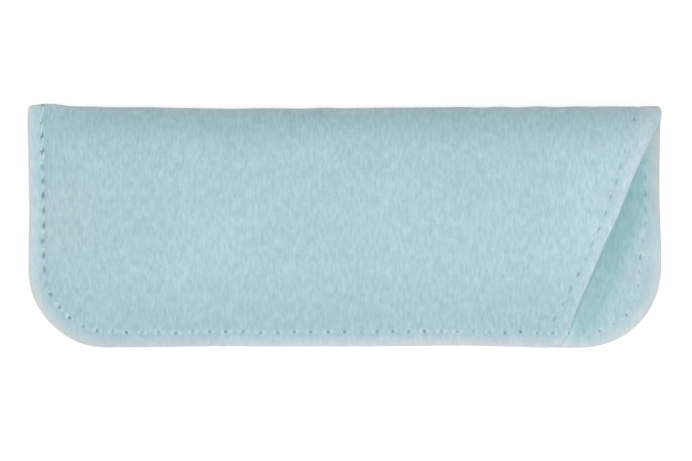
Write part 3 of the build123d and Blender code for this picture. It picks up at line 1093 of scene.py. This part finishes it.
def felt_material(name, contrast, seam_holes, mouth_holes, tints):
    """Brushed felt: short streaks of nap, painted light on the cut edges, and painted shade round the fold
    and in the needle holes.
    """
    nodes = FeltNodes(name)
    shade, height = felt_nap(nodes)
    calm = nodes.zone(("to_edge", 0, STITCH_INSET + 1, EDGE_CALM * contrast, contrast))
    nodes.colour = nodes.mix(nodes.plus(nodes.times(shade, calm), 0.5), AQUA_DEEP, AQUA_PALE)
    patches = nodes.ramp(nodes.noise(nodes.flat, *LAVENDER_PATCHES), 0.5, 0.75, 0.0, 0.3)
    nodes.colour = nodes.mix(patches, nodes.colour, LAVENDER)
    for tint in (*SHARED_TINTS, *tints):
        nodes.tint(*tint)
    for first, last, cast in EDGE_CASTS:
        start = ("seam_run", first - CAST_FADE, first + CAST_FADE)
        nodes.tint(cast, start, "outer", ("seam_run", last + CAST_FADE, last - CAST_FADE))

    tab_count = float(seam_count(RIGHT_ARC_END))
    onto_tab = ("seam_run", tab_count - 3, tab_count, 1)
    squeeze = nodes.zone(("seam_run", LEFT_COUNT + 1, LEFT_COUNT + 4, SLIT_SQUEEZE, 1))
    squeeze = nodes.times(squeeze, nodes.zone((*onto_tab, TAB_SQUEEZE)))
    narrow = nodes.zone((*onto_tab, SLIT_NARROWING))
    seam_hole, ring = nodes.holes("seam_run", "to_seam", FAR, seam_holes, squeeze, narrow)
    slit = (mouth_holes, SLIT_SQUEEZE, SLIT_NARROWING)
    mouth_hole, _ = nodes.holes("mouth_run", "to_row", float(MOUTH_STITCHES), *slit)
    # painted highlight in a ring round each seam hole
    nodes.tint(HOLE_RING_HIGHLIGHT, ring, seam_holes**2)
    hole = nodes.math("MAXIMUM", seam_hole, mouth_hole)
    # painted shade in the needle holes
    nodes.tint(NEEDLE_HOLE_SHADE, hole)
    nodes.bump(nodes.math("SUBTRACT", height, nodes.times(hole, HOLE_HEIGHT)), 0.4, 0.2)
    return nodes.finish(FELT_FINISH, nodes.colour)


def thread_material():
    """Matt sewing thread, tone on tone, with a little change along its length."""
    nodes = Nodes("sewing_thread")
    place = nodes.add("ShaderNodeTexCoord").outputs["Object"]
    fibres = nodes.noise(place, 9000, roughness=0.6, seed=2.0)
    lengthwise = nodes.noise(place, 600, detail=1.0, seed=4.0)
    shade = nodes.plus(nodes.times(fibres, 0.6), nodes.times(lengthwise, 0.4))
    nodes.bump(fibres, 0.3, 0.05)
    return nodes.finish(THREAD_FINISH, nodes.mix(nodes.ramp(shade, 0.3, 0.7), THREAD_SHADE, THREAD_COLOUR))


def fibre_material():
    """Single wool fibres, paler than the mass of the felt."""
    nodes = Nodes("wool_fibre")
    place = nodes.add("ShaderNodeTexCoord").outputs["Object"]
    paleness = nodes.ramp(nodes.noise(place, 700), 0.3, 0.7)
    return nodes.finish(FIBRE_FINISH, nodes.mix(paleness, AQUA_PALE, THREAD_COLOUR))


# ======== stage
VIEW_WIDTH = 185.85
CAMERA_LENS = 100.0
SENSOR = 36.0
CAMERA_PLACE = (0.30, -1.0)
OUTLINE_HEIGHT = 2.6
FLOOR_REACH = 3000.0
FLOOR_GAP = 0.02
LAMP_PLACE = (0.03, -0.2, 0.9)
LAMP_SIZE = 0.9
LAMP_POWER = 8.1
SURROUND_LIGHT = 0.35


def make_camera():
    """Camera straight in front of the case, with a long lens."""
    data = bpy.data.cameras.new("camera")
    data.lens = CAMERA_LENS
    data.sensor_width = SENSOR
    data.clip_start = 0.01
    data.clip_end = 20
    height = VIEW_WIDTH * CAMERA_LENS / SENSOR + OUTLINE_HEIGHT
    camera = new_object("camera", data)
    camera.location = (CAMERA_PLACE[0] * MM, CAMERA_PLACE[1] * MM, height * MM)
    bpy.context.scene.camera = camera


def make_lamp():
    """Big square soft light over the case, turned to its middle; its place and size are in metres."""
    data = bpy.data.lights.new("overhead", "AREA")
    data.shape = "SQUARE"
    data.size = LAMP_SIZE
    data.energy = LAMP_POWER
    lamp = new_object("overhead", data)
    lamp.location = LAMP_PLACE
    lamp.rotation_mode = "QUATERNION"
    lamp.rotation_quaternion = Vector(LAMP_PLACE).to_track_quat("Z", "Y")


def make_stage():
    """White floor that glows a little, as a light table does, and an even surround."""
    corners = [(-1, -1, 0), (1, -1, 0), (1, 1, 0), (-1, 1, 0)]
    floor = mesh_object("floor", FLOOR_REACH * np.array(corners, float), [[0, 1, 2, 3]])
    floor.location.z = -FLOOR_GAP * MM
    floor.data.materials.append(Nodes("white_sheet").finish(PAPER_FINISH))
    world = bpy.data.worlds.new("surround")
    world.use_nodes = True
    background = world.node_tree.nodes["Background"]
    background.inputs[0].default_value = WHITE
    background.inputs[1].default_value = SURROUND_LIGHT
    bpy.context.scene.world = world
    bpy.context.scene.view_settings.view_transform = "Standard"


# ======== the case
# Steps of each blank's grid along the case, up the front, round the fold and down the back. Three steps
# are those near one end, in the middle and near the other end.
FELT_GRID = ((0.45, 0.62, 0.45), (0.45, 0.62, 0.62), 0.64, (0.8, 0.8, 0.45))
LINING_GRID = ((1.4, 1.1, 0.6), (1.2, 1.4, 1.4), 0.9, (0.8, 0.8, 0.6))
LINING_GAP = 0.02
LINING_INSET = 0.3
LINING_ROUNDING = 0.2
LINING_RELIEF = -0.7


def bend(piece):
    """Bakes a piece's placement into its mesh; nothing is bent."""
    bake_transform(piece)


def make_case():
    """Felt, lining, loose fibres and threads, each in place of its CAD nodes."""
    felt = closed_sheet("felt_blank", Blank(*FELT_GRID), 0.0, FELT, 0.0, EDGE_ROUNDING, 1.0)
    faces, edge = (WALL - LINING_GAP, FELT + LINING_GAP), (LINING_INSET, LINING_ROUNDING)
    lining = closed_sheet("lining_blank", Blank(*LINING_GRID), *faces, *edge, LINING_RELIEF)
    felt.data.materials.append(felt_material("aqua_felt", 0.56, 1.0, 0.78, FELT_TINTS))
    lining.data.materials.append(felt_material("brushed_lining", 0.5, 0.74, 0.45, LINING_TINTS))
    for sheet in (felt, lining):
        face_outward(sheet)
        bend(sheet)
    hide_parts("felt_shell", "felt_tab")
    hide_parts("lining_shell", "lining_tab")
    for name, weigh, group in (
        ("edge_fibres", near_cut_edge, EDGE_FIBRES),
        ("face_fibres", on_faces, FACE_FIBRES),
    ):
        fibres = loose_fibres(name, felt, weigh, *group)
        bend(fibres)
    thread = thread_material()
    for name, node, holes, face in thread_runs():
        run = stitches(name, holes, face)
        run.data.materials.append(thread)
        bend(run)
        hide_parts(node)


make_camera()
make_lamp()
make_stage()
make_case()
